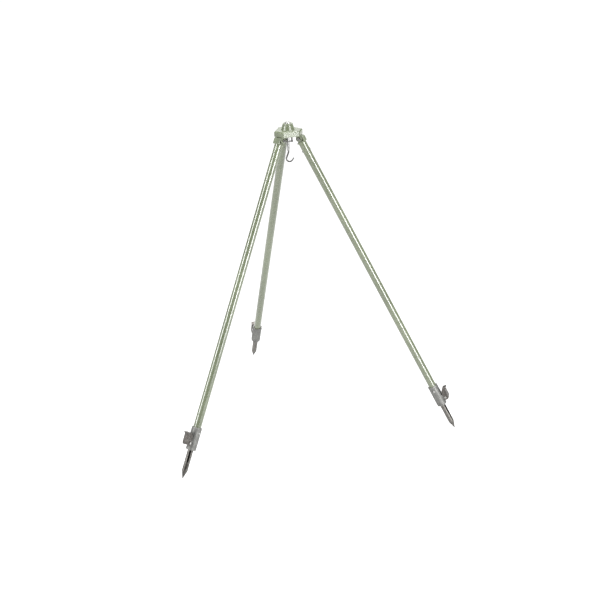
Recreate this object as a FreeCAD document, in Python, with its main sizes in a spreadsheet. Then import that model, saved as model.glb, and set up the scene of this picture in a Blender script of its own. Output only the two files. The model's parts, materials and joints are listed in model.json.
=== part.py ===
import FreeCAD, Part
import math
import os
import Sketcher
from FreeCAD import Placement, Rotation, Vector

# Surveyor's tripod: a three-armed head with a conical boss, three tubular legs hinged to lugs under its
# arms, and in each leg a slotted inner leg with a steel point, held by a cam lever on the collar at the
# tube's end.
#
# Frame: millimetres, +Z up, origin at the centre of the head's seat, where the spigot stands up.
# A leg's own frame has its origin on the hinge bolt, +Z up along the leg, +X square to the leg and
# away from the tripod's axis, +Y along the hinge bolt. Distances down the leg count from the bolt.

DIMENSIONS = {
    # head
    "stud_radius": 9.5,
    "stud_height": 4,
    "stud_depth": 20,
    "stud_root_radius": 11,
    "boss_top_radius": 17,
    "boss_base_radius": 23.5,
    "boss_height": 22,
    "lip_radius": 18.2,
    "lip_height": 4,
    "groove_radius": 17.3,
    "groove_bottom": 5.6,
    "groove_lower_radius": 18.65,
    "hub_depth": 19,
    "arm_reach": 47,
    "arm_width": 43,
    "arm_chamfer": 4,
    "side_reach": 40.8,
    "side_width": 59,
    "side_chamfer": 2.5,
    "lug_radius": 10.5,
    "lug_root": 31,
    "lug_inner": 10.3,
    "lug_outer": 16.5,
    # hinge
    "pin_reach": 41.152,
    "pin_drop": 50.976,
    "pin_radius": 3,
    "pin_clearance": 0.05,
    "hex_radius": 5.8,
    "bolt_head_thick": 4,
    "hinge_nut_thick": 4,
    "bolt_proud": 1,
    # leg fitting
    "knuckle_radius": 9.6,
    "knuckle_width": 20,
    "heel_start": 4.3,
    "heel_height": 8.4,
    "heel_front_height": 2.6,
    "wall_inner": 11.8,
    "wall_height": 4.5,
    "block_top": 12,
    "block_bottom": 17.3,
    "block_front": 15.5,
    "block_back": 14,
    "block_width": 29,
    "spigot_radius": 12.4,
    "spigot_end": 60.3,
    "rivet_radius": 2.5,
    "rivet_head_radius": 4,
    "rivet_head_thick": 1.4,
    "upper_rivet": 30.3,
    "lower_rivet": 47.3,
    # outer tube
    "leg_length": 1206.3,
    "tube_radius": 14,
    "tube_bore_radius": 12.5,
    # clamp collar
    "collar_radius": 18,
    "collar_top": 1023.3,
    "collar_bottom": 1103.3,
    "socket_depth": 40,
    "rod_clearance": 0.1,
    "ear_inner": 5,
    "ear_outer": 9,
    "ear_radius": 9,
    "collar_rivet_drop": 18,
    # cam lever, measured from its pivot
    "pivot_drop": 1079.3,
    "pivot_reach": 26,
    "lever_pin_radius": 2.5,
    "lever_pin_head_radius": 4.2,
    "lever_pin_head_thick": 1.6,
    "lever_width": 25,
    "lever_wall": 3,
    "lever_back": 12.5,
    "lever_web": 2.5,
    "lever_mouth": 5.5,
    "lever_mouth_bottom": 8,
    "lever_toe_reach": 3.5,
    "lever_toe_drop": 9.2,
    "lever_foot_drop": 10,
    "lever_sole_reach": 5,
    "lever_sole_drop": 9.5,
    "lever_ankle_reach": 9.6,
    "lever_ankle_drop": 8,
    "lever_calf_reach": 11.8,
    "lever_calf_drop": 4.3,
    "lever_height": 36,
    "lever_lip_start": 27,
    "lever_lip_reach": 20,
    "lever_top_inner": 4,
    "lever_mouth_top": 24,
    "lever_top_wall": 2.5,
    "lever_lip_wall": 5.5,
    "lever_pin_gap": 0.4,
    "cam_radius": 8,
    "cam_offset": 1,
    "cam_width": 9.2,
    "cam_root_half": 6.4,
    "cam_recess_gap": 0.4,
    # clamp shoe
    "shoe_radius": 4.8,
    "shoe_hole_radius": 5,
    "shoe_gap": 0.2,
    # inner leg
    "rod_radius": 10,
    "rod_bore_radius": 8,
    "rod_top": 264.3,
    "rod_slot_width": 6,
    "rod_slot_margin": 4,
    "ring_length": 20,
    "ring_radius": 12.3,
    "point_length": 28,
    "point_spigot": 30,
    "point_tip_radius": 1,
    "bush_top": 990.3,
    "bush_length": 60,
    # plumb-bob hook
    "post_reach": 13.5,
    "post_radius": 2.5,
    "bridge_top": 63,
    "bridge_thick": 3,
    "bridge_end_radius": 4,
    "screw_radius": 1.5,
    "screw_head_radius": 2.6,
    "screw_head_thick": 2,
    "screw_length": 14,
    "spindle_radius": 2.2,
    "spindle_head_radius": 4.3,
    "spindle_head_top": 46,
    "spindle_gap": 0.3,
    "stem_radius": 4.2,
    "stem_bottom": 97,
    "wire_radius": 3,
    "wire_seat": 12,
    "wire_bend_start": 101,
    "wire_bend_radius": 10,
    "bowl_radius": 11,
    "bowl_centre_x": 3,
    "bowl_centre_drop": 125,
    "hook_tip_straight": 9,
    # overlap of fused lumps, and how far a cutting body runs past what it cuts
    "overlap": 1,
    "cutter_margin": 5,
    "cutter_reach": 40,
}
SPLAY = 27.1
SKETCH_START_RADIUS = 30.0
HOOK_TURN = -18.0
BOWL_END_ANGLE = 325.0
LEG_AZIMUTH = {"left": 210.0, "right": 330.0, "rear": 90.0}
SLOT_TURN = {"left": 47.0, "right": -30.0, "rear": 60.0}

doc = FreeCAD.newDocument("surveyor_tripod")
sheet = doc.addObject("Spreadsheet::Sheet", "Dimensions")
for row, (alias, value) in enumerate(DIMENSIONS.items(), start=1):
    sheet.set(f"A{row}", alias)
    sheet.set(f"B{row}", str(value))
    sheet.setAlias(f"B{row}", alias)
doc.recompute()

subparts = []


def size(alias):
    """A driving dimension, read back from the sheet."""
    return float(sheet.get(alias))


def bound(text):
    """An expression in which each alias is looked up in the sheet."""
    words = []
    for word in text.split():
        words.append(f"Dimensions.{word}" if word in DIMENSIONS else word)
    return " ".join(words)


def bind(item, **properties):
    """Bind an object's properties to expressions of the sheet's cells."""
    for name, text in properties.items():
        item.setExpression(name.replace("__", "."), bound(text))


def keep(item, label, placement):
    """Name a finished sub-part, place it in the tripod's frame and list it for export."""
    item.Label = label
    item.Placement = placement.multiply(item.Placement)
    subparts.append(item)


def cylinder(name, radius, height, base="0", axis="Z", centre=("0", "0")):
    """A cylinder along an axis from base upwards, bound to the sheet."""
    item = doc.addObject("Part::Cylinder", name)
    bind(item, Radius=radius, Height=height)
    turn = {"Z": Rotation(), "X": Rotation(Vector(0, 1, 0), 90), "Y": Rotation(Vector(1, 0, 0), -90)}
    item.Placement = Placement(Vector(), turn[axis])
    places = {"Z": (centre[0], centre[1], base), "X": (base, centre[0], centre[1]),
              "Y": (centre[0], base, centre[1])}
    x, y, z = places[axis]
    bind(item, Placement__Base__x=x, Placement__Base__y=y, Placement__Base__z=z)
    return item


def box(name, low, extent):
    """A box from its lowest corner, bound to the sheet."""
    item = doc.addObject("Part::Box", name)
    bind(item, Length=extent[0], Width=extent[1], Height=extent[2])
    bind(item, Placement__Base__x=low[0], Placement__Base__y=low[1], Placement__Base__z=low[2])
    return item


def hexagon(name, height, base, centre):
    """A hexagonal prism along Y, for a bolt head or a nut."""
    item = doc.addObject("Part::Prism", name)
    item.Polygon = 6
    bind(item, Circumradius="hex_radius", Height=height)
    item.Placement = Placement(Vector(), Rotation(Vector(1, 0, 0), -90))
    bind(item, Placement__Base__x=centre[0], Placement__Base__y=base, Placement__Base__z=centre[1])
    return item


def fuse(name, items):
    """The union of several solids."""
    item = doc.addObject("Part::MultiFuse", name)
    item.Shapes = items
    return item


def cut(name, base, tools):
    """One solid less one or more tools."""
    item = doc.addObject("Part::Cut", name)
    item.Base = base
    item.Tool = tools[0] if len(tools) == 1 else fuse(name + "_tools", tools)
    return item


def new_body(name):
    return doc.addObject("PartDesign::Body", name)


def plane_of(body, role):
    """One of a body's own origin planes."""
    for feature in body.Origin.OriginFeatures:
        if feature.Role == role:
            return feature
    raise ValueError(role)


def new_sketch(body, name, role):
    sketch = body.newObject("Sketcher::SketchObject", name)
    sketch.AttachmentSupport = [(plane_of(body, role), "")]
    sketch.MapMode = "FlatFace"
    return sketch


def bind_point(sketch, geometry, end, point):
    """Fix one end of a sketch element at a pair of expressions."""
    for kind, text in zip(("DistanceX", "DistanceY"), point):
        index = sketch.addConstraint(Sketcher.Constraint(kind, geometry, end, 1.0))
        sketch.setExpression(f"Constraints[{index}]", bound(text))


def outline(body, name, role, points):
    """A closed sketch of straight edges whose corners are expressions."""
    sketch = new_sketch(body, name, role)
    count = len(points)
    for index in range(count):
        angles = [2 * math.pi * step / count for step in (index, index + 1)]
        ends = [Vector(math.cos(angle), math.sin(angle), 0) * SKETCH_START_RADIUS for angle in angles]
        sketch.addGeometry(Part.LineSegment(ends[0], ends[1]))
    for index in range(count):
        following = (index + 1) % count
        sketch.addConstraint(Sketcher.Constraint("Coincident", index, 2, following, 1))
    for index, point in enumerate(points):
        bind_point(sketch, index, 1, point)
    return sketch


def round_outline(body, name, role, centre, radius):
    """A sketch of one circle."""
    sketch = new_sketch(body, name, role)
    sketch.addGeometry(Part.Circle(Vector(1, 1, 0), Vector(0, 0, 1), 1))
    bind_point(sketch, 0, 3, centre)
    index = sketch.addConstraint(Sketcher.Constraint("Radius", 0, 1.0))
    sketch.setExpression(f"Constraints[{index}]", bound(radius))
    return sketch


def extrude(body, sketch, name, width, kind="PartDesign::Pad"):
    """A pad or pocket, the same to both sides of its sketch."""
    feature = body.newObject(kind, name)
    feature.Profile = sketch
    if hasattr(feature, "SideType"):
        feature.SideType = "Symmetric"
    else:
        feature.Midplane = True
    bind(feature, Length=width)
    body.Tip = feature
    return feature


def revolve(body, sketch, name):
    """A full revolution about the sketch's vertical axis."""
    feature = body.newObject("PartDesign::Revolution", name)
    feature.Profile = sketch
    feature.ReferenceAxis = (sketch, ["V_Axis"])
    feature.Angle = 360
    body.Tip = feature
    return feature


def turned(name, points):
    """A turned piece from its half outline of radius and height."""
    body = new_body(name)
    revolve(body, outline(body, name + "_outline", "XZ_Plane", points), name + "_turned")
    return body


# ---------------------------------------------------------------- head

def head_casting():
    """Grooved conical boss on a cap with three blunt corners, and a pair of lugs under each corner."""
    body = new_body("head_casting_body")
    under = "- boss_height - hub_depth"
    hub = outline(body, "hub_outline", "XZ_Plane", [
        ("stud_root_radius", "0"), ("boss_top_radius", "0"), ("lip_radius", "- lip_height"),
        ("groove_radius", "- lip_height"), ("groove_radius", "- groove_bottom"),
        ("groove_lower_radius", "- groove_bottom"), ("boss_base_radius", "- boss_height"),
        ("boss_base_radius", under), ("0", under),
        ("0", "- stud_depth"), ("stud_root_radius", "- stud_depth")])
    revolve(body, hub, "hub")
    arm = outline(body, "arm_outline", "XZ_Plane", [
        ("0", "- boss_height"), ("arm_reach - arm_chamfer", "- boss_height"),
        ("arm_reach", "- boss_height - arm_chamfer"), ("arm_reach", under), ("0", under)])
    arm_pad = extrude(body, arm, "arm", "arm_width")
    side_wall = outline(body, "side_outline", "XZ_Plane", [
        ("0", "- boss_height"), ("- side_reach + side_chamfer", "- boss_height"),
        ("- side_reach", "- boss_height - side_chamfer"), ("- side_reach", under), ("0", under)])
    side_pad = extrude(body, side_wall, "side", "side_width")
    web = outline(body, "lug_web_outline", "XZ_Plane", [
        ("lug_root", under + " + overlap"), ("arm_reach", under + " + overlap"),
        ("arm_reach", "- pin_drop"), ("lug_root", "- pin_drop")])
    web_pad = extrude(body, web, "lug_web", "lug_outer * 2")
    eye = round_outline(body, "lug_eye_outline", "XZ_Plane", ("pin_reach", "- pin_drop"), "lug_radius")
    eye_pad = extrude(body, eye, "lug_eye", "lug_outer * 2")
    gap = outline(body, "lug_gap_outline", "XZ_Plane", [
        ("pin_reach - lug_radius * 2", under), ("pin_reach + lug_radius * 2", under),
        ("pin_reach + lug_radius * 2", "- pin_drop - lug_radius * 2"),
        ("pin_reach - lug_radius * 2", "- pin_drop - lug_radius * 2")])
    gap_cut = extrude(body, gap, "lug_gap", "lug_inner * 2", "PartDesign::Pocket")
    hole = round_outline(body, "pin_hole_outline", "XZ_Plane", ("pin_reach", "- pin_drop"), "pin_radius")
    pin_hole = extrude(body, hole, "pin_hole", "arm_width * 2", "PartDesign::Pocket")
    arms = body.newObject("PartDesign::PolarPattern", "arms")
    arms.Originals = [arm_pad, side_pad, web_pad, eye_pad, gap_cut, pin_hole]
    arms.Axis = (hub, ["V_Axis"])
    arms.Angle = 360
    arms.Occurrences = len(LEG_AZIMUTH)
    body.Tip = arms
    keep(body, "head_casting", Placement(Vector(), Rotation(Vector(0, 0, 1), LEG_AZIMUTH["rear"])))


def instrument_stud():
    """Low spigot that centres the instrument, on a wider root pressed into the head."""
    stud = turned("stud_body", [
        ("0", "- stud_depth"), ("stud_root_radius", "- stud_depth"), ("stud_root_radius", "0"),
        ("stud_radius", "0"), ("stud_radius", "stud_height"), ("0", "stud_height")])
    keep(stud, "instrument_stud", Placement())


def hook_bridge():
    """Strap under the head that carries the hook's spindle, with its two posts and screws."""
    bridge_bottom = "- bridge_top - bridge_thick"
    hole_bottom = bridge_bottom + " - cutter_margin"
    hole_length = "bridge_thick + cutter_margin * 2"
    plate = box("bridge_plate", ("- post_reach", "- bridge_end_radius", bridge_bottom),
                ("post_reach * 2", "bridge_end_radius * 2", "bridge_thick"))
    ends = []
    holes = [cylinder("spindle_hole", "spindle_radius + pin_clearance", hole_length, hole_bottom)]
    posts = []
    screws = []
    post_height = "bridge_top - boss_height - hub_depth"
    for side, x in (("a", "post_reach"), ("b", "- post_reach")):
        centre = (x, "0")
        ends.append(cylinder("bridge_end_" + side, "bridge_end_radius", "bridge_thick",
                             bridge_bottom, centre=centre))
        holes.append(cylinder("screw_hole_" + side, "screw_radius", hole_length, hole_bottom,
                              centre=centre))
        post = cylinder("post_" + side, "post_radius", post_height, "- bridge_top", centre=centre)
        thread = cylinder("post_thread_" + side, "screw_radius", "screw_length - bridge_thick",
                          "- bridge_top", centre=centre)
        posts.append(cut("bored_post_" + side, post, [thread]))
        head = cylinder("screw_head_" + side, "screw_head_radius", "screw_head_thick",
                        bridge_bottom + " - screw_head_thick", centre=centre)
        shank = cylinder("screw_shank_" + side, "screw_radius", "screw_length", bridge_bottom,
                         centre=centre)
        screws.append(fuse("screw_" + side, [head, shank]))
    keep(cut("bridge", fuse("bridge_blank", [plate] + ends), holes), "hook_bridge", Placement())
    for label, group in (("bridge_posts", posts), ("bridge_screws", screws)):
        both = doc.addObject("Part::Compound", label + "_pair")
        both.Links = group
        keep(both, label, Placement())


def hook_spindle():
    """Headed spindle that turns in the bridge, with a stem below for the wire."""
    stem_top = "bridge_top + bridge_thick + spindle_gap"
    body = turned("spindle_body", [
        ("0", "- spindle_head_top"), ("spindle_head_radius", "- spindle_head_top"),
        ("spindle_head_radius", "- bridge_top + spindle_gap"),
        ("spindle_radius", "- bridge_top + spindle_gap"),
        ("spindle_radius", f"- ( {stem_top} )"), ("stem_radius", f"- ( {stem_top} )"),
        ("stem_radius", "- stem_bottom"), ("wire_radius", "- stem_bottom"),
        ("wire_radius", "- stem_bottom + wire_seat"), ("0", "- stem_bottom + wire_seat")])
    keep(body, "hook_spindle", Placement())


def hook_path():
    """Shank, a gentle offset bend, the round bowl and a short straight tip, in the XZ plane."""
    bend = size("wire_bend_radius")
    bowl = size("bowl_radius")
    centre = Vector(size("bowl_centre_x"), 0, -size("bowl_centre_drop"))
    start = Vector(0, 0, -size("stem_bottom") + size("wire_seat"))
    bend_start = Vector(0, 0, -size("wire_bend_start"))
    across = bend + centre.x
    down = bend_start.z - centre.z
    turn = math.atan2(down, across) - math.acos((bend + bowl) / math.hypot(across, down))
    bend_centre = bend_start + Vector(-bend, 0, 0)

    def on_circle(middle, radius, angle):
        return middle + Vector(radius * math.cos(angle), 0, radius * math.sin(angle))

    first = [on_circle(bend_centre, bend, -turn * part) for part in (0, 0.5, 1)]
    low = math.pi - turn
    high = math.radians(BOWL_END_ANGLE)
    second = [on_circle(centre, bowl, low + (high - low) * part) for part in (0, 0.5, 1)]
    tip = second[2] + Vector(-math.sin(high), 0, math.cos(high)) * size("hook_tip_straight")
    edges = [
        Part.LineSegment(start, bend_start), Part.Arc(*first), Part.LineSegment(first[2], second[0]),
        Part.Arc(*second), Part.LineSegment(second[2], tip)]
    return Part.Wire([edge.toShape() for edge in edges])


def plumb_hook():
    """Round wire hook swept along its path, with a rounded tip."""
    path = hook_path()
    start = path.Vertexes[0].Point
    section = Part.Wire(Part.Circle(start, Vector(0, 0, 1), size("wire_radius")).toShape())
    wire = path.makePipeShell([section], True, False)
    tip = Part.makeSphere(size("wire_radius"), path.Vertexes[-1].Point)
    hook = doc.addObject("Part::Feature", "hook")
    hook.Shape = wire.fuse(tip).removeSplitter()
    keep(hook, "plumb_hook", Placement(Vector(), Rotation(Vector(0, 0, 1), HOOK_TURN)))


# ---------------------------------------------------------------- legs

def leg_placement(side):
    """Where a leg's own frame stands in the tripod's frame."""
    azimuth = Placement(Vector(), Rotation(Vector(0, 0, 1), LEG_AZIMUTH[side]))
    hinge = Placement(Vector(size("pin_reach"), 0, -size("pin_drop")), Rotation(Vector(0, 1, 0), -SPLAY))
    return azimuth.multiply(hinge)


def hinge_bolt(side):
    """Hexagon-headed bolt through the head's lugs and the leg's knuckle, and its nut."""
    head = hexagon(side + "_bolt_head", "bolt_head_thick", "- lug_outer - bolt_head_thick", ("0", "0"))
    length = "lug_outer * 2 + hinge_nut_thick + bolt_proud"
    shank = cylinder(side + "_bolt_shank", "pin_radius", length, "- lug_outer", "Y")
    keep(fuse(side + "_bolt", [head, shank]), side + "_hinge_bolt", leg_placement(side))
    blank = hexagon(side + "_nut_blank", "hinge_nut_thick", "lug_outer", ("0", "0"))
    thread = cylinder(side + "_nut_thread", "pin_radius", "arm_width", "0", "Y")
    keep(cut(side + "_nut", blank, [thread]), side + "_hinge_nut", leg_placement(side))


def leg_fitting(side):
    """Cast knuckle with a stop heel, a shoulder block and the spigot that fills the tube's top."""
    body = new_body(side + "_fitting_body")
    low = "- block_top - overlap"
    neck = outline(body, side + "_neck_outline", "XZ_Plane", [
        ("- knuckle_radius", "0"), ("0", "0"), ("heel_start", "heel_height"),
        ("block_front", "heel_front_height"), ("block_front", low), ("- knuckle_radius", low)])
    extrude(body, neck, side + "_neck", "knuckle_width")
    eye = round_outline(body, side + "_eye_outline", "XZ_Plane", ("0", "0"), "knuckle_radius")
    extrude(body, eye, side + "_eye", "knuckle_width")
    wall = outline(body, side + "_wall_outline", "XZ_Plane", [
        ("wall_inner", "wall_height"), ("block_front", "heel_front_height"), ("block_front", low),
        ("wall_inner", low)])
    extrude(body, wall, side + "_wall", "block_width")
    block = outline(body, side + "_block_outline", "XZ_Plane", [
        ("- block_back", "- block_top"), ("block_front", "- block_top"),
        ("block_front", "- block_bottom"), ("- block_back", "- block_bottom")])
    extrude(body, block, side + "_block", "block_width")
    spigot = outline(body, side + "_spigot_outline", "XZ_Plane", [
        ("0", "- block_bottom + overlap"), ("spigot_radius", "- block_bottom + overlap"),
        ("spigot_radius", "- spigot_end"), ("0", "- spigot_end")])
    revolve(body, spigot, side + "_spigot")
    hole = round_outline(body, side + "_eye_hole_outline", "XZ_Plane", ("0", "0"),
                         "pin_radius + pin_clearance")
    extrude(body, hole, side + "_eye_hole", "knuckle_width * 2", "PartDesign::Pocket")
    lower = round_outline(body, side + "_lower_rivet_outline", "YZ_Plane", ("0", "- lower_rivet"),
                          "rivet_radius")
    extrude(body, lower, side + "_lower_rivet_hole", "cutter_reach * 2", "PartDesign::Pocket")
    upper = round_outline(body, side + "_upper_rivet_outline", "XZ_Plane", ("0", "- upper_rivet"),
                          "rivet_radius")
    extrude(body, upper, side + "_upper_rivet_hole", "cutter_reach * 2", "PartDesign::Pocket")
    keep(body, side + "_leg_fitting", leg_placement(side))


def rivet(name, axis, drop):
    """A through rivet with a flat head at each end, across the tube."""
    reach = "tube_radius"
    parts = [cylinder(name + "_shank", "rivet_radius", "tube_radius * 2", f"- {reach}", axis,
                      ("0", f"- {drop}"))]
    for end, base in (("near", f"- {reach} - rivet_head_thick"), ("far", f"{reach}")):
        parts.append(cylinder(f"{name}_{end}", "rivet_head_radius", "rivet_head_thick", base, axis,
                              ("0", f"- {drop}")))
    return fuse(name, parts)


def fitting_rivets(side):
    """The two crossed rivets that hold the tube on the fitting's spigot."""
    pair = doc.addObject("Part::Compound", side + "_rivet_pair")
    pair.Links = [rivet(side + "_rivet_low", "X", "lower_rivet"),
                  rivet(side + "_rivet_high", "Y", "upper_rivet")]
    keep(pair, side + "_fitting_rivets", leg_placement(side))


def leg_tube(side):
    """Thin outer tube from the fitting's block into the collar's socket."""
    top = "- block_bottom"
    bottom = "- collar_top - socket_depth"
    start = "- cutter_reach"
    span = "cutter_reach * 2"
    wall = turned(side + "_tube_wall", [
        ("tube_bore_radius", top), ("tube_radius", top), ("tube_radius", bottom),
        ("tube_bore_radius", bottom)])
    holes = [
        cylinder(side + "_tube_hole_low", "rivet_radius", span, start, "X", ("0", "- lower_rivet")),
        cylinder(side + "_tube_hole_high", "rivet_radius", span, start, "Y", ("0", "- upper_rivet")),
        cylinder(side + "_tube_hole_foot", "rivet_radius", span, start, "Y",
                 ("0", "- collar_top - collar_rivet_drop"))]
    keep(cut(side + "_tube", wall, holes), side + "_leg_tube", leg_placement(side))


def lower_bush(side):
    """Plain bearing inside the tube's foot that guides the inner leg."""
    bottom = "- bush_top - bush_length"
    bush = turned(side + "_bush", [
        ("rod_radius + rod_clearance", "- bush_top"), ("tube_bore_radius", "- bush_top"),
        ("tube_bore_radius", bottom), ("rod_radius + rod_clearance", bottom)])
    keep(bush, side + "_lower_bush", leg_placement(side))


def clamp_collar(side):
    """Cast collar on the tube's foot, with two ears for the lever and a radial hole for the shoe."""
    length = "collar_bottom - collar_top"
    start = "- cutter_reach"
    span = "cutter_reach * 2"
    blank = cylinder(side + "_collar_blank", "collar_radius", length, "- collar_bottom")
    solids = [blank]
    pivot = ("pivot_reach", "- pivot_drop")
    for name, low in (("ear_a", "ear_inner"), ("ear_b", "- ear_outer")):
        thick = "ear_outer - ear_inner"
        solids.append(cylinder(f"{side}_{name}_round", "ear_radius", thick, low, "Y", pivot))
        solids.append(box(f"{side}_{name}_web", ("collar_radius / 2", low, "- pivot_drop - ear_radius"),
                          ("pivot_reach - collar_radius / 2", thick, "ear_radius * 2")))
    socket_bottom = "- collar_top - socket_depth"
    tools = [
        cylinder(side + "_socket", "tube_radius", "socket_depth + cutter_margin", socket_bottom),
        cylinder(side + "_rod_bore", "rod_radius + rod_clearance", length + " + cutter_margin * 2",
                 "- collar_bottom - cutter_margin"),
        cylinder(side + "_shoe_hole", "shoe_hole_radius", "cutter_reach", "0", "X",
                 ("0", "- pivot_drop")),
        cylinder(side + "_ear_hole", "lever_pin_radius", span, start, "Y", pivot),
        box(side + "_cam_recess", ("pivot_reach - cam_radius - cam_offset - cam_recess_gap",
                                   "- ear_inner", "- pivot_drop - ear_radius - overlap"),
            ("pivot_reach", "ear_inner * 2", "ear_radius * 2 + overlap * 2")),
        cylinder(side + "_collar_hole", "rivet_radius", span, start, "Y",
                 ("0", "- collar_top - collar_rivet_drop"))]
    collar = cut(side + "_collar", fuse(side + "_collar_solid", solids), tools)
    keep(collar, side + "_clamp_collar", leg_placement(side))


def collar_rivets(side):
    """Two short rivets through the collar and the tube wall, one on each side."""
    drop = "- collar_top - collar_rivet_drop"
    rivets = []
    for end, base, head in (("a", "tube_bore_radius", "collar_radius"),
                            ("b", "- collar_radius", "- collar_radius - rivet_head_thick")):
        shank = cylinder(f"{side}_collar_rivet_{end}_shank", "rivet_radius",
                         "collar_radius - tube_bore_radius", base, "Y", ("0", drop))
        cap = cylinder(f"{side}_collar_rivet_{end}_head", "rivet_head_radius", "rivet_head_thick",
                       head, "Y", ("0", drop))
        rivets.append(fuse(f"{side}_collar_rivet_{end}", [shank, cap]))
    pair = doc.addObject("Part::Compound", side + "_collar_rivet_pair")
    pair.Links = rivets
    keep(pair, side + "_collar_rivets", leg_placement(side))


def lever_pin(side):
    """Pivot pin of the cam lever, fixed in the collar's ears, with a head on each end."""
    pivot = ("pivot_reach", "- pivot_drop")
    half = "lever_width / 2 + lever_pin_gap"
    parts = [cylinder(side + "_lever_pin_shank", "lever_pin_radius", "lever_width + lever_pin_gap * 2",
                      f"- ( {half} )", "Y", pivot)]
    for end, base in (("near", f"- ( {half} ) - lever_pin_head_thick"), ("far", half)):
        parts.append(cylinder(f"{side}_lever_pin_{end}", "lever_pin_head_radius",
                              "lever_pin_head_thick", base, "Y", pivot))
    keep(fuse(side + "_pivot_pin", parts), side + "_lever_pin", leg_placement(side))


def cam_lever(side):
    """Channel-shaped lever with a flared thumb lip, and the cam between its walls."""
    body = new_body(side + "_lever_body")
    profile = outline(body, side + "_lever_outline", "XZ_Plane", [
        ("lever_lip_reach", "lever_height"), ("lever_top_inner", "lever_height"),
        ("- lever_mouth", "lever_mouth_top"), ("- lever_mouth", "- lever_mouth_bottom"),
        ("- lever_toe_reach", "- lever_toe_drop"), ("0", "- lever_foot_drop"),
        ("lever_sole_reach", "- lever_sole_drop"), ("lever_ankle_reach", "- lever_ankle_drop"),
        ("lever_calf_reach", "- lever_calf_drop"),
        ("lever_back", "0"), ("lever_back", "lever_lip_start")])
    extrude(body, profile, side + "_lever_solid", "lever_width")
    web = "lever_back - lever_web"
    under_lip = "lever_height - lever_top_wall"
    channel = outline(body, side + "_channel_outline", "XZ_Plane", [
        ("- lever_back", "- lever_back * 2"), (web, "- lever_back * 2"), (web, "lever_lip_start"),
        ("lever_lip_reach - lever_lip_wall", under_lip), ("- lever_back", under_lip)])
    extrude(body, channel, side + "_channel", "lever_width - lever_wall * 2", "PartDesign::Pocket")
    cam = round_outline(body, side + "_cam_outline", "XZ_Plane", ("- cam_offset", "0"), "cam_radius")
    extrude(body, cam, side + "_cam", "cam_width")
    root = outline(body, side + "_cam_root_outline", "XZ_Plane", [
        ("0", "- cam_root_half"), ("lever_back - lever_web / 2", "- cam_root_half"),
        ("lever_back - lever_web / 2", "cam_radius"), ("0", "cam_root_half")])
    extrude(body, root, side + "_cam_root", "cam_width")
    hole = round_outline(body, side + "_pivot_outline", "XZ_Plane", ("0", "0"),
                         "lever_pin_radius + pin_clearance")
    extrude(body, hole, side + "_pivot_hole", "lever_width * 2", "PartDesign::Pocket")
    pivot = Placement(Vector(size("pivot_reach"), 0, -size("pivot_drop")), Rotation())
    keep(body, side + "_cam_lever", leg_placement(side).multiply(pivot))


def clamp_shoe(side):
    """Brass plunger between the cam and the inner leg, hollowed to fit the rod."""
    cam_face = "pivot_reach - cam_radius - cam_offset - shoe_gap"
    blank = cylinder(side + "_shoe_blank", "shoe_radius", cam_face, "0", "X", ("0", "- pivot_drop"))
    hollow = cylinder(side + "_shoe_hollow", "rod_radius + shoe_gap", "cutter_reach * 2",
                      "- pivot_drop - cutter_reach")
    keep(cut(side + "_shoe", blank, [hollow]), side + "_clamp_shoe", leg_placement(side))


def slot_placement(side):
    """The inner leg's frame: the leg's, turned about its length so the slot faces its own way."""
    return leg_placement(side).multiply(Placement(Vector(), Rotation(Vector(0, 0, 1), SLOT_TURN[side])))


def inner_leg(side):
    """Steel tube with one long slot, open towards its point."""
    bottom = "- leg_length + point_length"
    wall = turned(side + "_rod_wall", [
        ("rod_bore_radius", "- rod_top"), ("rod_radius", "- rod_top"), ("rod_radius", bottom),
        ("rod_bore_radius", bottom)])
    slot_length = "leg_length - point_length - rod_top - ring_length * 2 - rod_slot_margin"
    slot = box(side + "_rod_slot", ("0", "- rod_slot_width / 2", bottom + " + rod_slot_margin"),
               ("rod_radius + overlap", "rod_slot_width", slot_length))
    keep(cut(side + "_rod", wall, [slot]), side + "_inner_leg", slot_placement(side))


def guide_ring(side):
    """Ring on the inner leg's top end that guides it in the tube and stops it pulling out."""
    bottom = "- rod_top - ring_length"
    ring = turned(side + "_ring", [
        ("rod_radius", "- rod_top"), ("ring_radius", "- rod_top"), ("ring_radius", bottom),
        ("rod_radius", bottom)])
    keep(ring, side + "_guide_ring", leg_placement(side))


def spike_point(side):
    """Solid steel point with a spigot inside the inner leg."""
    shoulder = "- leg_length + point_length"
    point = turned(side + "_point", [
        ("0", shoulder + " + point_spigot"), ("rod_bore_radius", shoulder + " + point_spigot"),
        ("rod_bore_radius", shoulder), ("rod_radius", shoulder), ("point_tip_radius", "- leg_length"),
        ("0", "- leg_length")])
    keep(point, side + "_spike_point", leg_placement(side))


def leg(side):
    """All the pieces of one leg."""
    hinge_bolt(side)
    leg_fitting(side)
    fitting_rivets(side)
    leg_tube(side)
    lower_bush(side)
    clamp_collar(side)
    collar_rivets(side)
    lever_pin(side)
    cam_lever(side)
    clamp_shoe(side)
    inner_leg(side)
    guide_ring(side)
    spike_point(side)


head_casting()
instrument_stud()
hook_bridge()
hook_spindle()
plumb_hook()
for leg_side in LEG_AZIMUTH:
    leg(leg_side)
doc.recompute()

for item in doc.Objects:
    if "Invalid" in item.State or "Error" in item.State:
        raise RuntimeError(f"{item.Label} failed: {item.State}")
for item in subparts:
    if item.Shape.isNull() or not item.Shape.isValid():
        raise RuntimeError(f"{item.Label} has no valid shape")

os.makedirs("parts", exist_ok=True)
for item in subparts:
    item.Shape.exportStep(os.path.join("parts", item.Label + ".step"))
print(len(subparts), "sub-parts written")
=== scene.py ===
import json
import math
import bmesh
import bpy
from mathutils import Matrix, Vector

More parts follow.
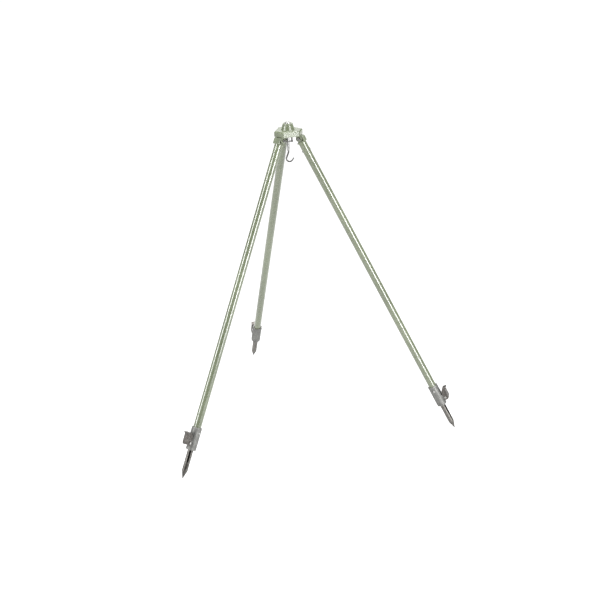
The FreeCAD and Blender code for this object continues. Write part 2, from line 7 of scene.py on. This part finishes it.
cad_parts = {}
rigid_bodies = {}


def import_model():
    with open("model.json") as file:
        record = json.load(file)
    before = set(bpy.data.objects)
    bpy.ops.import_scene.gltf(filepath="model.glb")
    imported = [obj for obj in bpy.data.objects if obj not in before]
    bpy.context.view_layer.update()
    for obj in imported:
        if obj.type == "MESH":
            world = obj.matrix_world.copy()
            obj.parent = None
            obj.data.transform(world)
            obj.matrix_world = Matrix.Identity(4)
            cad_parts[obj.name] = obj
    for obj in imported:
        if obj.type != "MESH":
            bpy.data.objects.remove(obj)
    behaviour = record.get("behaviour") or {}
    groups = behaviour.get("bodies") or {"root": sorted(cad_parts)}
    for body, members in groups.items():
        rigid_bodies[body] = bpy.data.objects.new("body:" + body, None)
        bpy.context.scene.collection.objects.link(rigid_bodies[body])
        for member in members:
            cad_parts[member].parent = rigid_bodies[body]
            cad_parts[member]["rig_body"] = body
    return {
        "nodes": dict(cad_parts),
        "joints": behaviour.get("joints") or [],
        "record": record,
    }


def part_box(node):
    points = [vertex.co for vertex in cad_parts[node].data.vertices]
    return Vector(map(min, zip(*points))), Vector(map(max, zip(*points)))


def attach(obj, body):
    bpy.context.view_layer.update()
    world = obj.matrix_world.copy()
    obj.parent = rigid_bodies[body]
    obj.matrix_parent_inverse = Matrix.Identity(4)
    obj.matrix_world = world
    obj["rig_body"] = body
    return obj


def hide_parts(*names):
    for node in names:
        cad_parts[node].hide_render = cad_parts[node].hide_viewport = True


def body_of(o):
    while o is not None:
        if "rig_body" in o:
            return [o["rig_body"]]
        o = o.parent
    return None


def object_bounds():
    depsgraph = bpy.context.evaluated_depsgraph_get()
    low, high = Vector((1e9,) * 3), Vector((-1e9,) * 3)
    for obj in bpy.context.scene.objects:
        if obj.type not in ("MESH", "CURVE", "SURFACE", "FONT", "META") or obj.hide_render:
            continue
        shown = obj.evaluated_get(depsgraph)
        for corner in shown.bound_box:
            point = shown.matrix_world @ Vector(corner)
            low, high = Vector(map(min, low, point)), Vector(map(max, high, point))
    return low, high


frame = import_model()
cad_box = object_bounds()

# Surveyor's tripod, in metres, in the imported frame: +Z up, origin at the centre of the head's seat.
# A leg's own frame has its origin on the hinge bolt, +Z up along the leg, +X away from the tripod's
# axis and +Y along the bolt. Every piece keeps its place in its own frame as the attribute "grain",
# so that scratches and stains run along the leg.

SIDES = ("left", "right", "rear")
JOINTS = {joint["name"]: joint for joint in frame["joints"]}
SLOTS = {part["node"]: part["material_slot"] for part in frame["record"]["subparts"]}
WELD = 1e-6
FLAT = math.radians(0.5)
SHARP = math.radians(32)

# the plumb-bob hook's wire, along the same line as the CAD part
WIRE_RADIUS = 0.0030
WIRE_TIP_RADIUS = 0.0022
WIRE_BEND_START = -0.101
WIRE_BEND_RADIUS = 0.010
BOWL_RADIUS = 0.011
BOWL_CENTRE_X = 0.003
BOWL_END = math.radians(325)
TIP_STRAIGHT = 0.009
HOOK_TURN = math.radians(-18)
SHANK_END_GAP = 0.004
WIRE_SIDES = 24
BEND_STEPS = 8
BOWL_STEPS = 40
TIP_SHARES = (0.25, 0.5, 0.75, 1.0)
TIP_ROUNDING = (0.35, 0.65, 0.85, 0.96)
THINNING_START = 0.4

# the spigot's rounded rim and the lathe centre in its top
SPIGOT_RIM = 0.0007
CENTRE_RADIUS = 0.0022
CENTRE_DEPTH = 0.0016

# the camera, about the tripod's axis
CAMERA_AZIMUTH = math.radians(-17.56)
CAMERA_ELEVATION = math.radians(22.12)
CAMERA_ROLL = math.radians(1.75)
CAMERA_DISTANCE = 4.387
CAMERA_RIGHT = 0.0275
CAMERA_DOWN = 0.119
CAMERA_LENS = 73.47
CAMERA_SENSOR = 36
CAMERA_REACH = 200
AIM_HEIGHT = 0.6

# the studio: half the floor's width, its own glow, and the room's grey behind the tripod and the camera
FLOOR_REACH = 40
FLOOR_GLOW = 1.0
FLOOR_GREY = (0.22, 0.22, 0.22, 1)
ROOM_FAR = (0.22, 0.22, 0.22)
ROOM_NEAR = (0.03, 0.03, 0.03)
BACKDROP = (1.0, 1.0, 1.0)


# ---------------------------------------------------------------- node helpers

def add(tree, kind, settings=None, **inputs):
    """A shader node. Settings are its own properties, inputs are values or sockets to link."""
    item = tree.nodes.new("ShaderNode" + kind)
    for name, value in (settings or {}).items():
        setattr(item, name, value)
    for name, value in inputs.items():
        socket = item.inputs[name.replace("_", " ")]
        if isinstance(value, bpy.types.NodeSocket):
            tree.links.new(value, socket)
        else:
            socket.default_value = value
    return item


def mix(tree, factor, first, second):
    """A colour between two, by a factor socket or value."""
    item = tree.nodes.new("ShaderNodeMix")
    item.data_type = "RGBA"
    for socket, value in zip((item.inputs[0], item.inputs[6], item.inputs[7]), (factor, first, second)):
        if isinstance(value, bpy.types.NodeSocket):
            tree.links.new(value, socket)
        elif socket.type == "RGBA":
            socket.default_value = (*value, 1.0)
        else:
            socket.default_value = value
    return item.outputs[2]


def ranged(tree, value, low, high, to_low=0.0, to_high=1.0):
    """A value carried from one range to another, clamped."""
    item = add(tree, "MapRange", {"interpolation_type": "SMOOTHSTEP"}, Value=value)
    for name, number in (("From Min", low), ("From Max", high), ("To Min", to_low), ("To Max", to_high)):
        item.inputs[name].default_value = number
    return item.outputs["Result"]


def product(tree, first, second, operation="MULTIPLY"):
    """Two values multiplied, or joined by another operation."""
    item = tree.nodes.new("ShaderNodeMath")
    item.operation = operation
    item.use_clamp = operation == "ADD"
    for socket, value in zip(item.inputs, (first, second)):
        if isinstance(value, bpy.types.NodeSocket):
            tree.links.new(value, socket)
        else:
            socket.default_value = value
    return item.outputs[0]


def speckle(tree, size, detail=3.0, stretch=(1.0, 1.0, 1.0), rough=0.55):
    """Noise of a given grain size in metres, different on every piece."""
    coordinates = add(tree, "Attribute", {"attribute_name": "grain"}).outputs["Vector"]
    placed = add(tree, "Mapping", Vector=coordinates, Scale=stretch).outputs["Vector"]
    shift = product(tree, add(tree, "ObjectInfo").outputs["Random"], 40.0)
    noise = add(tree, "TexNoise", {"noise_dimensions": "4D"}, Vector=placed, W=shift,
                Scale=1.0 / size, Detail=detail, Roughness=rough)
    return noise.outputs["Fac"]


def edges(tree):
    """One on worn outer edges, zero on flats and in corners."""
    return ranged(tree, add(tree, "NewGeometry").outputs["Pointiness"], 0.505, 0.56)


def hollow_dirt_and_shade(tree):
    """One in inner corners: a grey dirt tone on the paint there, and painted shade in corners on the bare
    metals.
    """
    return ranged(tree, add(tree, "NewGeometry").outputs["Pointiness"], 0.44, 0.495, 1.0, 0.0)


def bumped(tree, layers):
    """A normal from several height layers of (height socket, depth in metres)."""
    normal = None
    for height, depth in layers:
        item = add(tree, "Bump", Height=height, Strength=1.0, Distance=depth)
        if normal is not None:
            tree.links.new(normal, item.inputs["Normal"])
        normal = item.outputs["Normal"]
    return normal


def new_material(name):
    """An empty node material and its principled shader."""
    material = bpy.data.materials.new(name)
    material.use_nodes = True
    shader = material.node_tree.nodes["Principled BSDF"]
    return material, material.node_tree, shader


def finish_shader(tree, shader, colour, roughness, normal, metallic=0.0):
    """Connect the parts of a finish to its shader."""
    tree.links.new(colour, shader.inputs["Base Color"])
    tree.links.new(roughness, shader.inputs["Roughness"])
    tree.links.new(normal, shader.inputs["Normal"])
    if isinstance(metallic, bpy.types.NodeSocket):
        tree.links.new(metallic, shader.inputs["Metallic"])
    else:
        shader.inputs["Metallic"].default_value = metallic


# ---------------------------------------------------------------- finishes

PAINT = (0.090, 0.110, 0.060)
PAINT_DARK = (0.066, 0.082, 0.043)
PAINT_PALE = (0.134, 0.158, 0.095)
PRIMER = (0.10, 0.105, 0.085)
BARE_METAL = (0.33, 0.325, 0.30)
# dark colour for grime spots and for the painted shade in inner corners of bare metal
GRIME_AND_SHADE_TONE = (0.055, 0.052, 0.040)


def painted(name, grain_size, grain_depth, chip_share, gloss):
    """Grey-green enamel over metal, chipped at its edges and dulled by handling."""
    material, tree, shader = new_material(name)
    patches = ranged(tree, speckle(tree, 0.045, 4.0, (1.0, 1.0, 0.25)), 0.35, 0.68)
    colour = mix(tree, patches, PAINT_DARK, PAINT_PALE)
    colour = mix(tree, 0.55, colour, PAINT)
    dirt = product(tree, ranged(tree, speckle(tree, 0.010, 5.0), 0.52, 0.74), 0.35)
    dirt = product(tree, dirt, product(tree, hollow_dirt_and_shade(tree), 0.8), "ADD")
    colour = mix(tree, dirt, colour, PRIMER)
    scratch_lines = speckle(tree, 0.0016, 2.0, (1.0, 1.0, 0.03))
    scratched_places = ranged(tree, speckle(tree, 0.03), 0.5, 0.6)
    scratches = product(tree, ranged(tree, scratch_lines, 0.66, 0.72), scratched_places)
    chip_noise = speckle(tree, 0.0028, 4.0, rough=0.65)
    rim = product(tree, edges(tree), ranged(tree, chip_noise, 0.50 - chip_share, 0.60 - chip_share))
    pock = ranged(tree, speckle(tree, 0.0045, 3.0, rough=0.7), 0.745, 0.765)
    chips = product(tree, rim, pock, "ADD")
    colour = mix(tree, product(tree, scratches, 0.35), colour, PAINT_PALE)
    colour = mix(tree, chips, colour, mix(tree, speckle(tree, 0.002), PRIMER, BARE_METAL))
    smudges = ranged(tree, speckle(tree, 0.02, 4.0), 0.3, 0.7, gloss, gloss + 0.16)
    roughness = product(tree, smudges, product(tree, chips, 0.3), "ADD")
    normal = bumped(tree, [(speckle(tree, grain_size, 3.0), grain_depth),
                           (product(tree, chips, -1.0), 0.00012)])
    finish_shader(tree, shader, colour, roughness, normal)
    shader.inputs["Coat Weight"].default_value = 0.9
    shader.inputs["Coat IOR"].default_value = 1.5
    shader.inputs["Coat Roughness"].default_value = gloss * 0.4
    return material


def green_tube():
    """Smooth gloss enamel on the outer tubes."""
    return painted("green_tube_enamel", 0.004, 0.00002, 0.02, 0.15)


def green_casting():
    """The same enamel over the rougher skin of a casting."""
    return painted("green_casting_enamel", 0.0016, 0.00016, 0.10, 0.46)


def painted_rivets():
    """Rivet heads painted over with the tube and rubbed through on top."""
    return painted("painted_rivet_enamel", 0.002, 0.00005, 0.14, 0.28)


def metal(name, colours, roughness_range, metallic, grain, wear=0.6, brushing=None):
    """Bare or blackened metal: two tones, grime spots plus painted shade darkening the inner corners,
    bright rubbed edges, fine grain.
    """
    dark, light, bright = colours
    material, tree, shader = new_material(name)
    stretch, size, depth = brushing or ((1.0, 1.0, 1.0), 0.0012, 0.00002)
    cloudy = ranged(tree, speckle(tree, 0.012, 5.0), 0.30, 0.70)
    colour = mix(tree, cloudy, dark, light)
    lines = speckle(tree, size, 3.0, stretch)
    colour = mix(tree, product(tree, ranged(tree, lines, 0.45, 0.70), 0.35), colour, bright)
    spots = ranged(tree, speckle(tree, 0.0035, 4.0, rough=0.7), 0.62, 0.74)
    # random grime spots, plus painted shade: inner corners darkened towards the dark grime colour
    grime_and_corner_shade = product(tree, product(tree, spots, 0.5), product(tree, hollow_dirt_and_shade(tree), 0.85), "ADD")
    colour = mix(tree, grime_and_corner_shade, colour, GRIME_AND_SHADE_TONE)
    rubbed = product(tree, edges(tree), ranged(tree, speckle(tree, 0.003, 3.0), 0.35, 0.60))
    colour = mix(tree, product(tree, rubbed, wear), colour, bright)
    low, high = roughness_range
    roughness = ranged(tree, speckle(tree, 0.006, 4.0), 0.30, 0.70, low, high)
    roughness = product(tree, roughness, product(tree, grime_and_corner_shade, 0.25), "ADD")
    grain_size, grain_depth = grain
    normal = bumped(tree, [(speckle(tree, grain_size, 3.0), grain_depth), (lines, depth)])
    finish_shader(tree, shader, colour, roughness, normal, metallic)
    return material


def grey_casting():
    """Fine sand-cast light alloy of the clamp collars."""
    return metal("grey_cast_alloy", ((0.085, 0.085, 0.081), (0.150, 0.150, 0.142), (0.45, 0.45, 0.43)),
                 (0.42, 0.62), 0.55, (0.0009, 0.00014))


def lever_steel():
    """Dark phosphated steel of the cam levers, rubbed at the thumb lip."""
    return metal("lever_dark_steel", ((0.038, 0.033, 0.029), (0.070, 0.062, 0.055), (0.48, 0.47, 0.45)),
                 (0.30, 0.50), 0.65, (0.0010, 0.00005), wear=0.75)


def spike_steel():
    """Oiled steel of the inner legs, scratched lengthwise where it slides."""
    return metal("spike_oiled_steel", ((0.034, 0.032, 0.028), (0.068, 0.063, 0.057), (0.30, 0.29, 0.27)),
                 (0.30, 0.50), 0.75, (0.0030, 0.00003), brushing=((1.0, 1.0, 0.02), 0.0007, 0.00003))


def dark_steel():
    """Dull steel of the hook's spindle."""
    return metal("spindle_black_steel", ((0.16, 0.16, 0.155), (0.24, 0.24, 0.235), (0.45, 0.45, 0.44)),
                 (0.30, 0.45), 0.8, (0.0015, 0.00003))


def bridge_steel():
    """Dulled dark zinc of the strap and its posts."""
    return metal("bridge_zinc", ((0.040, 0.040, 0.038), (0.080, 0.080, 0.076), (0.30, 0.30, 0.29)),
                 (0.40, 0.58), 0.60, (0.0020, 0.00003))


def hook_steel():
    """Drawn wire of the plumb-bob hook, dull where lines have hung."""
    return metal("hook_drawn_wire", ((0.040, 0.040, 0.038), (0.075, 0.075, 0.072), (0.32, 0.32, 0.31)),
                 (0.34, 0.50), 0.70, (0.0020, 0.00003), brushing=((1.0, 1.0, 0.1), 0.0008, 0.00003))


def stud_steel():
    """Turned steel of the centring spigot."""
    return metal("stud_turned_steel", ((0.34, 0.34, 0.33), (0.50, 0.50, 0.48), (0.70, 0.70, 0.68)),
                 (0.22, 0.38), 1.0, (0.0015, 0.00002), brushing=((1.0, 1.0, 12.0), 0.002, 0.00002))


def hinge_fasteners():
    """Blackened bolts and nuts with rubbed corners."""
    return metal("hinge_black_steel", ((0.030, 0.030, 0.027), (0.060, 0.060, 0.055), (0.35, 0.35, 0.33)),
                 (0.32, 0.50), 0.8, (0.0015, 0.00004), wear=0.7)


def bright_fasteners():
    """Zinc-plated rivets, pins and screws."""
    return metal("bright_zinc", ((0.20, 0.20, 0.19), (0.34, 0.34, 0.33), (0.60, 0.60, 0.58)),
                 (0.22, 0.40), 0.95, (0.0015, 0.00003))


def brass():
    """Turned brass of the bushes, rings and shoes."""
    return metal("turned_brass", ((0.33, 0.22, 0.09), (0.55, 0.40, 0.18), (0.75, 0.58, 0.30)),
                 (0.25, 0.42), 1.0, (0.0020, 0.00002), brushing=((1.0, 1.0, 10.0), 0.002, 0.00002))


FINISHES = {finish.__name__: finish() for finish in (
    green_tube, green_casting, painted_rivets, grey_casting, lever_steel, spike_steel, dark_steel,
    bridge_steel, hook_steel, stud_steel, hinge_fasteners, bright_fasteners, brass)}


# ---------------------------------------------------------------- mesh helpers

def leg_matrix(side):
    """A leg's own frame, from its joints."""
    hinge = JOINTS[side + "_leg_fold"]
    up = -Vector(JOINTS[side + "_leg_extend"]["axis"]).normalized()
    bolt = Vector(hinge["axis"]).normalized()
    turn = Matrix((bolt.cross(up), bolt, up)).transposed().to_4x4()
    return Matrix.Translation(Vector(hinge["pos_m"])) @ turn


def cad_shape(node, matrix):
    """A CAD node's mesh, welded and with flat faces joined, in a frame of its own."""
    source = frame["nodes"][node].data
    inverse = matrix.inverted()
    shape = bmesh.new()
    corners = [shape.verts.new(inverse @ vertex.co) for vertex in source.vertices]
    for polygon in source.polygons:
        shape.faces.new([corners[index] for index in polygon.vertices])
    bmesh.ops.remove_doubles(shape, verts=shape.verts, dist=WELD)
    bmesh.ops.dissolve_limit(shape, angle_limit=FLAT, verts=shape.verts, edges=shape.edges)
    return shape


def stand_in(node, shape, matrix, refine=None):
    """A piece from a mesh in its own frame that is shown in place of a CAD node."""
    mesh = bpy.data.meshes.new(node + "_mesh")
    bmesh.ops.recalc_face_normals(shape, faces=shape.faces)
    shape.to_mesh(mesh)
    shape.free()
    piece = bpy.data.objects.new(node + "_visual", mesh)
    bpy.context.scene.collection.objects.link(piece)
    if refine:
        refine(piece)
        settle(piece)
    mark_grain(piece.data)
    piece.data.transform(matrix)
    piece.data.shade_smooth()
    piece.data.materials.append(FINISHES[SLOTS[node]])
    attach(piece, body_of(frame["nodes"][node])[0])
    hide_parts(node)
    return piece


def settle(piece):
    """Keep the result of a piece's modifiers as its mesh."""
    bpy.context.view_layer.update()
    shown = piece.evaluated_get(bpy.context.evaluated_depsgraph_get())
    result = bpy.data.meshes.new_from_object(shown)
    piece.modifiers.clear()
    piece.data = result


def mark_grain(mesh):
    """Store each vertex's place in the piece's own frame for the finishes."""
    places = [number for vertex in mesh.vertices for number in vertex.co]
    mesh.attributes.new("grain", "FLOAT_VECTOR", "POINT").data.foreach_set("vector", places)


def rounded(width, steps=3):
    """A refinement that rounds every sharp edge."""
    def refine(piece):
        bevel = piece.modifiers.new("rounded_edges", "BEVEL")
        bevel.width = width
        bevel.segments = steps
        bevel.limit_method = "ANGLE"
        bevel.angle_limit = SHARP
        bevel.harden_normals = False
        piece.data.shade_smooth()
        shading = piece.modifiers.new("even_shading", "WEIGHTED_NORMAL")
        shading.weight = 80
    return refine


def cast(grain, passes):
    """A refinement that gives the soft edges and inner fillets of a casting."""
    def refine(piece):
        remesh = piece.modifiers.new("skin", "REMESH")
        remesh.mode = "VOXEL"
        remesh.voxel_size = grain
        smooth = piece.modifiers.new("fillets", "SMOOTH")
        smooth.factor = 0.5
        smooth.iterations = passes
    return refine


def rounded_copy(node, matrix, width, steps=3):
    """A CAD node with every sharp edge rounded."""
    return stand_in(node, cad_shape(node, matrix), matrix, rounded(width, steps))


def cast_copy(node, matrix, grain, passes):
    """A CAD node with the skin of a casting."""
    return stand_in(node, cad_shape(node, matrix), matrix, cast(grain, passes))


def extents(node, matrix):
    """A turned node's smallest and largest radius, bottom and top in a frame along its axis."""
    inverse = matrix.inverted()
    points = [inverse @ vertex.co for vertex in frame["nodes"][node].data.vertices]
    radii = [math.hypot(point.x, point.y) for point in points]
    heights = [point.z for point in points]
    return min(radii), max(radii), min(heights), max(heights)


def lathe(profile, steps=96, closed=True):
    """A turned mesh from (radius, height) points. A closed profile is the wall of a tube."""
    shape = bmesh.new()
    rings = []
    for radius, height in profile:
        if radius == 0:
            rings.append([shape.verts.new((0, 0, height))])
            continue
        ring = []
        for step in range(steps):
            angle = 2 * math.pi * step / steps
            ring.append(shape.verts.new((radius * math.cos(angle), radius * math.sin(angle), height)))
        rings.append(ring)
    pairs = list(zip(rings, rings[1:]))
    if closed:
        pairs.append((rings[-1], rings[0]))
    for lower, upper in pairs:
        join_rings(shape, lower, upper, steps)
    return shape


def join_rings(shape, lower, upper, steps):
    """Faces between two rings of vertices, either of which may be a single point."""
    for step in range(steps):
        following = (step + 1) % steps
        corners = [lower[step % len(lower)], lower[following % len(lower)],
                   upper[following % len(upper)], upper[step % len(upper)]]
        unique = [corner for index, corner in enumerate(corners) if corner not in corners[:index]]
        shape.faces.new(unique)


# ---------------------------------------------------------------- head

def centring_spigot():
    """The low spigot with a broken rim and a lathe centre in its top, on its pressed root."""
    node = "instrument_stud"
    low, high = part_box(node)
    radius = max(math.hypot(vertex.co.x, vertex.co.y)
                 for vertex in frame["nodes"][node].data.vertices if vertex.co.z > high.z / 2)
    shape = lathe([
        (0, low.z), (high.x, low.z), (high.x, 0), (radius, 0), (radius, high.z - SPIGOT_RIM),
        (radius - SPIGOT_RIM, high.z), (CENTRE_RADIUS, high.z), (0, high.z - CENTRE_DEPTH)], closed=False)
    return stand_in(node, shape, Matrix.Identity(4), rounded(0.0002))


def hook_line():
    """Points along the hook's wire: shank, offset bend, bowl and tip, in its own XZ plane."""
    low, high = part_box("plumb_hook")
    centre = Vector((BOWL_CENTRE_X, 0, low.z + WIRE_RADIUS + BOWL_RADIUS))
    across = WIRE_BEND_RADIUS + BOWL_CENTRE_X
    down = WIRE_BEND_START - centre.z
    reach = math.acos((WIRE_BEND_RADIUS + BOWL_RADIUS) / math.hypot(across, down))
    turn = math.atan2(down, across) - reach
    bend_centre = Vector((-WIRE_BEND_RADIUS, 0, WIRE_BEND_START))
    points = [Vector((0, 0, high.z)), Vector((0, 0, WIRE_BEND_START + SHANK_END_GAP))]
    points += on_arc(bend_centre, WIRE_BEND_RADIUS, 0, -turn, BEND_STEPS)
    points += on_arc(centre, BOWL_RADIUS, math.pi - turn, BOWL_END, BOWL_STEPS)
    forward = Vector((-math.sin(BOWL_END), 0, math.cos(BOWL_END)))
    points += [points[-1] + forward * TIP_STRAIGHT * share for share in TIP_SHARES]
    return points


def on_arc(centre, radius, start, end, count):
    """Evenly spaced points on an arc in the XZ plane."""
    points = []
    for step in range(count + 1):
        angle = start + (end - start) * step / count
        points.append(centre + Vector((radius * math.cos(angle), 0, radius * math.sin(angle))))
    return points


def wire_hook():
    """Round wire that thins from the bowl to a rounded tip."""
    node = "plumb_hook"
    line = hook_line()
    across = Vector((0, 1, 0))
    lengths = [0.0]
    for before, after in zip(line, line[1:]):
        lengths.append(lengths[-1] + (after - before).length)
    shape = bmesh.new()
    rings = []
    for index, point in enumerate(line):
        along = (line[min(index + 1, len(line) - 1)] - line[max(index - 1, 0)]).normalized()
        side = along.cross(across)
        share = max(0.0, lengths[index] / lengths[-1] - THINNING_START) / (1 - THINNING_START)
        radius = WIRE_RADIUS + (WIRE_TIP_RADIUS - WIRE_RADIUS) * share
        rings.append(wire_ring(shape, point, side, across, radius))
    tip = line[-1]
    along = (line[-1] - line[-2]).normalized()
    for part in TIP_ROUNDING:
        centre = tip + along * WIRE_TIP_RADIUS * part
        radius = WIRE_TIP_RADIUS * math.sqrt(1 - part * part)
        rings.append(wire_ring(shape, centre, along.cross(across), across, radius))
    for lower, upper in zip(rings, rings[1:]):
        join_rings(shape, lower, upper, WIRE_SIDES)
    shape.faces.new(rings[-1])
    shape.faces.new(rings[0])
    return stand_in(node, shape, Matrix.Rotation(HOOK_TURN, 4, "Z"))


def wire_ring(shape, centre, side, across, radius):
    """A ring of vertices square to the wire."""
    ring = []
    for step in range(WIRE_SIDES):
        angle = 2 * math.pi * step / WIRE_SIDES
        ring.append(shape.verts.new(centre + (side * math.cos(angle) + across * math.sin(angle)) * radius))
    return ring


def build_head():
    """Head casting, spigot, hook and what carries it."""
    upright = Matrix.Identity(4)
    cast_copy("head_casting", upright, 0.0006, 14)
    centring_spigot()
    rounded_copy("hook_bridge", upright, 0.0006)
    rounded_copy("bridge_posts", upright, 0.0004)
    rounded_copy("bridge_screws", upright, 0.0005)
    rounded_copy("hook_spindle", upright, 0.0007)
    wire_hook()


# ---------------------------------------------------------------- legs

def outer_tube(side, matrix):
    """Drawn tube with softened ends."""
    node = side + "_leg_tube"
    bore, radius, bottom, top = extents(node, matrix)
    wall = lathe([(bore, bottom), (radius, bottom), (radius, top), (bore, top)])
    return stand_in(node, wall, matrix, rounded(0.0005))


def build_leg(side):
    """Every piece of one leg, in the leg's frame."""
    matrix = leg_matrix(side)
    rounded_copy(side + "_hinge_bolt", matrix, 0.0007)
    rounded_copy(side + "_hinge_nut", matrix, 0.0007)
    cast_copy(side + "_leg_fitting", matrix, 0.00055, 12)
    rounded_copy(side + "_fitting_rivets", matrix, 0.0011, 4)
    outer_tube(side, matrix)
    rounded_copy(side + "_lower_bush", matrix, 0.0004)
    cast_copy(side + "_clamp_collar", matrix, 0.00055, 5)
    rounded_copy(side + "_collar_rivets", matrix, 0.0011, 4)
    rounded_copy(side + "_lever_pin", matrix, 0.0008)
    cast_copy(side + "_cam_lever", matrix, 0.0004, 4)
    rounded_copy(side + "_clamp_shoe", matrix, 0.0003)
    rounded_copy(side + "_inner_leg", matrix, 0.0004)
    rounded_copy(side + "_guide_ring", matrix, 0.0005)
    rounded_copy(side + "_spike_point", matrix, 0.0008)


# ---------------------------------------------------------------- studio

def pale_floor():
    """A wide pale floor that glows a little and runs out of sight."""
    shape = bmesh.new()
    bmesh.ops.create_grid(shape, x_segments=1, y_segments=1, size=FLOOR_REACH)
    mesh = bpy.data.meshes.new("floor_mesh")
    shape.to_mesh(mesh)
    shape.free()
    floor = bpy.data.objects.new("studio_floor", mesh)
    floor.location.z = cad_box[0].z
    bpy.context.scene.collection.objects.link(floor)
    material, tree, shader = new_material("white_floor")
    shader.inputs["Base Color"].default_value = FLOOR_GREY
    shader.inputs["Roughness"].default_value = 0.9
    shader.inputs["Specular IOR Level"].default_value = 0.1
    shader.inputs["Emission Color"].default_value = (1, 1, 1, 1)
    shader.inputs["Emission Strength"].default_value = FLOOR_GLOW
    mesh.materials.append(material)


def from_camera(azimuth, elevation):
    """A direction given from the camera's own azimuth, in degrees to its right."""
    turn = CAMERA_AZIMUTH + math.radians(azimuth)
    rise = math.radians(elevation)
    return Vector((math.sin(turn) * math.cos(rise), -math.cos(turn) * math.cos(rise), math.sin(rise)))


def softbox(name, azimuth, elevation, distance, size, power):
    """An area light that faces the tripod."""
    data = bpy.data.lights.new(name, "AREA")
    data.shape = "RECTANGLE"
    data.size, data.size_y = size
    data.energy = power
    light = bpy.data.objects.new(name, data)
    away = from_camera(azimuth, elevation)
    light.location = aim_point() + away * distance
    light.rotation_mode = "QUATERNION"
    light.rotation_quaternion = away.to_track_quat("Z", "Y")
    bpy.context.scene.collection.objects.link(light)


def aim_point():
    """The point on the tripod's axis that the camera looks towards."""
    return Vector((0, 0, cad_box[0].z + AIM_HEIGHT))


def studio_light():
    """Soft boxes at the sides, above and behind, in a room that is darker behind the camera."""
    softbox("left_box", -62, 26, 3.2, (0.8, 2.4), 120)
    softbox("right_box", 42, 12, 3.4, (0.9, 2.4), 170)
    softbox("top_box", 150, 78, 3.0, (2.0, 2.0), 170)
    softbox("back_box", 180, 25, 4.0, (2.5, 1.4), 13)
    world = bpy.data.worlds.new("studio_room")
    bpy.context.scene.world = world
    world.use_nodes = True
    tree = world.node_tree
    direction = add(tree, "TexCoord").outputs["Generated"]
    facing = add(tree, "VectorMath", {"operation": "DOT_PRODUCT"})
    tree.links.new(direction, facing.inputs[0])
    facing.inputs[1].default_value = from_camera(0, 0)
    share = ranged(tree, facing.outputs["Value"], -0.2, 0.85)
    room = mix(tree, share, ROOM_FAR, ROOM_NEAR)
    colour = mix(tree, add(tree, "LightPath").outputs["Is Camera Ray"], room, BACKDROP)
    tree.links.new(colour, tree.nodes["Background"].inputs["Color"])
    tree.nodes["Background"].inputs["Strength"].default_value = 1.0


def studio_camera():
    """The camera, a little above the head, turned and rolled about the tripod's axis."""
    back = from_camera(0, math.degrees(CAMERA_ELEVATION))
    level = Vector((math.cos(CAMERA_AZIMUTH), math.sin(CAMERA_AZIMUTH), 0))
    upright = back.cross(level)
    right = level * math.cos(CAMERA_ROLL) - upright * math.sin(CAMERA_ROLL)
    above = level * math.sin(CAMERA_ROLL) + upright * math.cos(CAMERA_ROLL)
    data = bpy.data.cameras.new("camera")
    data.sensor_width = CAMERA_SENSOR
    data.lens = CAMERA_LENS
    data.clip_end = CAMERA_REACH
    camera = bpy.data.objects.new("camera", data)
    place = aim_point() + back * CAMERA_DISTANCE + right * CAMERA_RIGHT - above * CAMERA_DOWN
    turn = Matrix((right, above, back)).transposed().to_4x4()
    camera.matrix_world = Matrix.Translation(place) @ turn
    bpy.context.scene.collection.objects.link(camera)
    bpy.context.scene.camera = camera
    bpy.context.scene.view_settings.view_transform = "Standard"


build_head()
for leg_side in SIDES:
    build_leg(leg_side)
pale_floor()
studio_light()
studio_camera()
